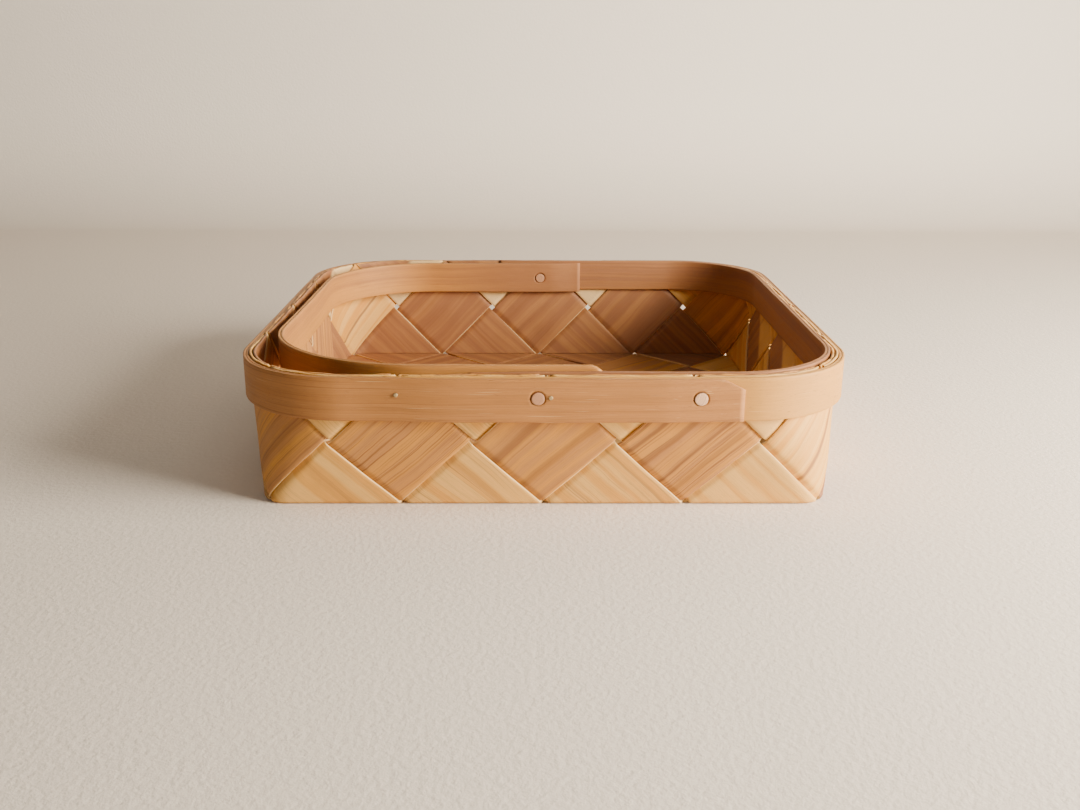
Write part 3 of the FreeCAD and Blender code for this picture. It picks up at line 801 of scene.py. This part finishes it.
def add_floor(context):
    """Pale floor that sweeps up into a backdrop: a profile of (y, z) drawn out along X."""
    turn = np.linspace(0, math.pi / 2, 13)
    y = np.concatenate([[-FLOOR_REACH], BACKDROP_Y - SWEEP + SWEEP * np.sin(turn), [BACKDROP_Y]])
    z = np.concatenate([[0.0], SWEEP - SWEEP * np.cos(turn), [BACKDROP_TOP]])
    x = (-FLOOR_REACH, FLOOR_REACH)
    points = np.array([(across, depth, up) for across in x for depth, up in zip(y, z)])
    count = len(y)
    first = np.arange(count - 1)
    faces = np.stack([first, first + count, first + count + 1, first + 1], axis=-1)
    mesh = bpy.data.meshes.new("floor")
    mesh.from_pydata(points.tolist(), [], faces.tolist())
    mesh.polygons.foreach_set("use_smooth", np.ones(len(faces), bool))
    recipe = Recipe("pale_floor")
    place = recipe.node("ShaderNodeTexCoord", None, None, "Object")
    height = recipe.parts(place)[2]
    lumps = recipe.noise(recipe.node("ShaderNodeVectorMath", {"operation": "SCALE"},
                                     {0: place, "Scale": 420.0}), 3.0, 0.6)
    tints = context.scene.basket_colours
    base = recipe.mix(lumps, rgba(tints.floor, 0.96), rgba(tints.floor, 1.04))
    base = recipe.mix(recipe.rise(height, 0.0, 0.12), base, rgba(tints.backdrop))
    mesh.materials.append(recipe.finish(base, 0.9, lumps, 0.0003, specular=0.2))
    floor = bpy.data.objects.new("floor", mesh)
    context.scene.collection.objects.link(floor)


# ------------------------ operators


# wood of the splints that have one of their own; the others get a darker tan with one vein, which is painted
# shade for the splints seen inside the basket
SPLINT_LOOKS = {
    "front_left_1": dict(kind="tan", veins=((-14, 0.9, 0.5), (11, 0.6, 0.45)), line_share=0.8),
    "front_left_2": dict(kind="tan", veins=((-7, 3.4, 0.62), (9, 2.8, 0.62)), line_share=0.28),
    "front_left_3": dict(kind="tan", veins=((-12, 1.5, 0.8), (-4, 2.2, 0.7), (6, 1.3, 0.75), (13, 2.0, 0.6)),
                         line_share=0.7),
    "front_left_4": dict(kind="honey", veins=((4, 1.2, 0.85),), line_share=0.2),
    "front_right_1": dict(kind="pale", line_share=0.14),
    "front_right_2": dict(kind="pale", veins=((-12, 0.8, 0.5), (9, 0.7, 0.5)), line_share=0.4),
    "front_right_3": dict(kind="pale", veins=((-9, 2.4, 0.3),), line_share=0.45),
    "front_right_4": dict(kind="pale", veins=((-5, 4.5, 0.16),), line_share=0.2),
    "back_left_4": dict(kind="tan", veins=((8, 3.0, 0.4),), line_share=0.45),
}


class BASKET_OT_stage(bpy.types.Operator):
    """Adds the camera, the soft studio light, the pale floor and its backdrop."""

    bl_idname = "basket.stage"
    bl_label = "Stage"

    def execute(self, context):
        add_camera(context)
        add_lights(context)
        add_floor(context)
        return {"FINISHED"}


class BASKET_OT_plait(bpy.types.Operator):
    """Builds the sixteen splints of the base and walls, each with its own wood."""

    bl_idname = "basket.plait"
    bl_label = "Plaited body"

    def execute(self, context):
        weave = Weave(context.scene.basket_weave)
        tints = context.scene.basket_colours
        # the darker kind, made with the inside colour, is painted shade for the splints seen inside the
        # basket
        kinds = {"pale": (tints.pale, tints.honey), "honey": (tints.honey, tints.pale),
                 "tan": (tints.tan, tints.honey), "shaded_tan": (tints.inside, tints.tan)}
        for corner, corner_name in enumerate(CORNERS):
            for number in range(CELLS):
                seed = splint_seed(corner, number)
                label = f"{corner_name}_{number + 1}"
                spare = dict(kind="shaded_tan", veins=((6.0 - seed, 1.5, 0.3),), band_share=0.45,
                             line_share=0.3)
                look = dict(SPLINT_LOOKS.get(label, spare))
                # painted light: pale patches near the tops of the back-right splints stand in for light
                # shining through the thin wood under the inner hoop at the back
                if corner_name == "back_right":
                    run = (2 * number + 1) * weave.pitch / MM
                    look["patches"] = ((tints.edge, -72, -61, 3), (tints.pale, run + 45, run + 500, 4))
                tone, band = kinds[look.pop("kind")]
                material = wood(f"splint_wood_{label}", seed, tone, band, tints.brown,
                                half_width=weave.width / 2 / MM, edge=tints.edge, **look)
                splint(weave, corner, number, material)
        return {"FINISHED"}


class BASKET_OT_hoops(bpy.types.Operator):
    """Builds the outer hoop and both lengths of the inner one, with holes for the pegs."""

    bl_idname = "basket.hoops"
    bl_label = "Hoops"

    def execute(self, context):
        sizes = context.scene.basket_hoops
        tints = context.scene.basket_colours
        outer_hoop(sizes, tints)
        inner_hoop_right(sizes, tints)
        inner_hoop_left(sizes, tints)
        return {"FINISHED"}


def peg_place(node):
    """(x, height) of a peg's axis."""
    low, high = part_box(node)
    return (low.x + high.x) / 2, (low.z + high.z) / 2


def outer_hoop(sizes, tints):
    """One strip, once round the outside of the rim and lapped over its own hidden end on the front."""
    low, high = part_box("outer_hoop")
    inside = high.x - sizes.thick
    lap = -low.y - high.x
    hidden, ramp, full = sizes.hidden_x, sizes.ramp_x, sizes.full_x
    end, taper = sizes.end_x, sizes.taper_x
    corners = [(hidden, -inside), (inside, -inside), (inside, inside), (-inside, inside),
               (-inside, -inside), (end, -inside)]
    line = rounded_line(corners, [sizes.outer_corner] * 4)
    points, _, travelled = line
    total = travelled[-1]

    def at(x):
        return total - end + x

    def rise(place):
        return lap * smooth((place - at(ramp)) / (full - ramp))

    def thick(place):
        hidden_end = sizes.tip + (sizes.thick - sizes.tip) * smooth(place / (full - hidden))
        thinned = (sizes.thick - sizes.end_thin) * np.clip((place - at(taper)) / (end - taper), 0, 1)
        return hidden_end - thinned

    front_pegs = (peg_place("front_centre_peg"), peg_place("front_right_peg"))
    holes = [(at(x) - sizes.hole_shift, z) for x, z in front_pegs]
    back_x, back_z = peg_place("back_centre_peg")
    off_back = np.where(points[:, 1] > inside - TINY, 0, 1)
    nearest = np.argmin(np.abs(points[:, 0] - back_x) + off_back)
    holes.append((travelled[nearest] + points[nearest, 0] - back_x, back_z))
    # painted light: the outer hoop is lighter and yellower round its front right corner, where the window
    # light falls
    painted_light_patch = (tints.hoop_painted_light, 0, 200, 90)
    material = wood("outer_hoop_wood", 31, tints.hoop, tints.tan, tints.hoop_dark, edge=tints.edge,
                    band_share=0.35, line_share=0.45, fleck_share=0.7, scratch_share=0.4, bow=1.2,
                    ring=1.5, patches=(painted_light_patch,))
    hoop("rim_outer", "outer_hoop", sizes, line, low.z, high.z, thick, rise, holes, material, 31,
         clip=OUTER_CLIP)


def inner_hoop_right(sizes, tints):
    """The strip inside the wall, round both right-hand corners, thinned at its two hidden ends."""
    low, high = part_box("inner_hoop_right")
    inside = high.x - sizes.thick
    front, back = sizes.right_front_x, sizes.right_back_x
    radius = sizes.right_corner - sizes.thick
    line = rounded_line([(front, -inside), (inside, -inside), (inside, inside), (back, inside)],
                        [radius] * 2)
    total = line[2][-1]

    def thick(place):
        return sizes.tip + (sizes.thick - sizes.tip) * np.minimum(
            np.clip(place / sizes.right_scarf, 0, 1), np.clip((total - place) / sizes.right_scarf, 0, 1))

    def rise(place):
        return sizes.thick - thick(place)

    peg_x, peg_z = peg_place("front_right_peg")
    # painted shade: this length takes the darker inside colour, for the shade on the inner face of the right
    # wall
    material = wood("inner_hoop_right_wood", 32, tints.inside, tints.hoop, tints.hoop_dark, band_share=0.6,
                    line_share=0.4, fleck_share=0.5, bow=1.4, ring=1.2)
    hoop("rim_inner_right", "inner_hoop_right", sizes, line, low.z, high.z, thick, rise,
         [(peg_x - front, peg_z)], material, 32)


def inner_hoop_left(sizes, tints):
    """The springy strip inside the rim on the left; its front end has its top corner cut off."""
    low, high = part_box("inner_hoop_left")
    inside_x = low.x + sizes.left_thick
    inside_y = high.y - sizes.left_thick
    corners = [(sizes.left_back_x, inside_y), (inside_x, inside_y), (inside_x, -inside_y),
               (high.x, -inside_y)]
    outside = (sizes.left_back_corner, sizes.left_front_corner)
    line = rounded_line(corners, [radius - sizes.left_thick for radius in outside])
    total = line[2][-1]

    def thick(place):
        return sizes.left_thick * (0.36 + 0.64 * smooth(place / (18 * MM)))

    def rise(place):
        return sizes.left_thick - thick(place)

    def trim(place):
        return sizes.left_slope * (1 - smooth((place / total - 0.35) / 0.5))

    front_x, front_z = peg_place("front_centre_peg")
    back_x, back_z = peg_place("back_centre_peg")
    holes = [(sizes.left_back_x - back_x, back_z), (total - high.x + front_x, front_z)]
    # painted shade: the inside colour over the first 30 mm from its back end, fading over 80 mm, darkens the
    # part of the back that the right wall shades
    material = wood("inner_hoop_left_wood", 33, tints.hoop, tints.honey, tints.hoop_dark, band_share=0.4,
                    line_share=0.35, fleck_share=0.4, bow=2.0, ring=0.8,
                    patches=((tints.inside, 0, 30, 80),))
    hoop("rim_inner_left", "inner_hoop_left", sizes, line, low.z, high.z, thick, rise, holes, material, 33,
         clip=LEFT_CLIP, groove=0.03, trim=trim)


# profiles: (share of the length, radius in mm); for a brad's head the shares are of the head's length
PEG_PROFILE = ((0.0, 1.5), (0.0, 2.15), (0.004, 2.42), (0.012, 2.56), (0.03, 2.6), (0.97, 2.6),
               (0.988, 2.56), (0.996, 2.42), (1.0, 2.15), (1.0, 1.5))
BRAD_HEAD = 0.4 * MM
BRAD_HEAD_PROFILE = ((0.3, 0.55), (0.35, 0.78), (0.6, 0.85), (1.0, 0.85), (1.05, 0.6))
BRAD_SHANK_PROFILE = ((0.95, 0.6), (1.0, 0.2))


class BASKET_OT_fastenings(bpy.types.Operator):
    """Builds the wooden pegs and the small steel brads."""

    bl_idname = "basket.fastenings"
    bl_label = "Pegs and brads"

    def execute(self, context):
        tints = context.scene.basket_colours
        pegs = {"front_centre_peg": (tints.peg, 1), "front_right_peg": (tints.peg_light, 2),
                "back_centre_peg": (tints.peg, 3)}
        for node, (tone, seed) in pegs.items():
            low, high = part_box(node)
            material = end_grain(f"{node}_wood", seed, tone, tints.brown)
            profile = [(share, radius * MM) for share, radius in PEG_PROFILE]
            turned(f"{node}_end_grain", node, profile, low.y, high.y, peg_place(node), material)
        for node in ("front_left_brad", "front_centre_brad"):
            low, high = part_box(node)
            head = BRAD_HEAD / (high.y - low.y)
            profile = [(share * head, radius * MM) for share, radius in BRAD_HEAD_PROFILE]
            profile += [(share, radius * MM) for share, radius in BRAD_SHANK_PROFILE]
            turned(f"{node}_steel", node, profile, low.y, high.y, peg_place(node),
                   brad_metal(f"{node}_metal", tints.steel), 32)
        return {"FINISHED"}


OPERATORS = (BASKET_OT_stage, BASKET_OT_plait, BASKET_OT_hoops, BASKET_OT_fastenings)
GROUPS = {"basket_weave": WeaveSizes, "basket_hoops": HoopSizes, "basket_colours": WoodColours}


class BASKET_PT_build(bpy.types.Panel):
    """Lists the basket's operators in the 3D view's sidebar."""

    bl_idname = "BASKET_PT_build"
    bl_label = "Plaited basket"
    bl_space_type = "VIEW_3D"
    bl_region_type = "UI"
    bl_category = "Basket"

    def draw(self, context):
        for operator in OPERATORS:
            self.layout.operator(operator.bl_idname)


def register():
    """Adds the settings, the operators and the panel."""
    for group in GROUPS.values():
        bpy.utils.register_class(group)
    for operator in OPERATORS:
        bpy.utils.register_class(operator)
    bpy.utils.register_class(BASKET_PT_build)
    for name, group in GROUPS.items():
        setattr(bpy.types.Scene, name, bpy.props.PointerProperty(type=group))


def unregister():
    """Takes them away again, in the reverse order."""
    for name in GROUPS:
        delattr(bpy.types.Scene, name)
    bpy.utils.unregister_class(BASKET_PT_build)
    for operator in reversed(OPERATORS):
        bpy.utils.unregister_class(operator)
    for group in reversed(list(GROUPS.values())):
        bpy.utils.unregister_class(group)


def main():
    """Registers the add-on, then runs every operator in turn."""
    register()
    for operator in OPERATORS:
        space, name = operator.bl_idname.split(".")
        getattr(getattr(bpy.ops, space), name)()


if __name__ == "__main__":
    main()
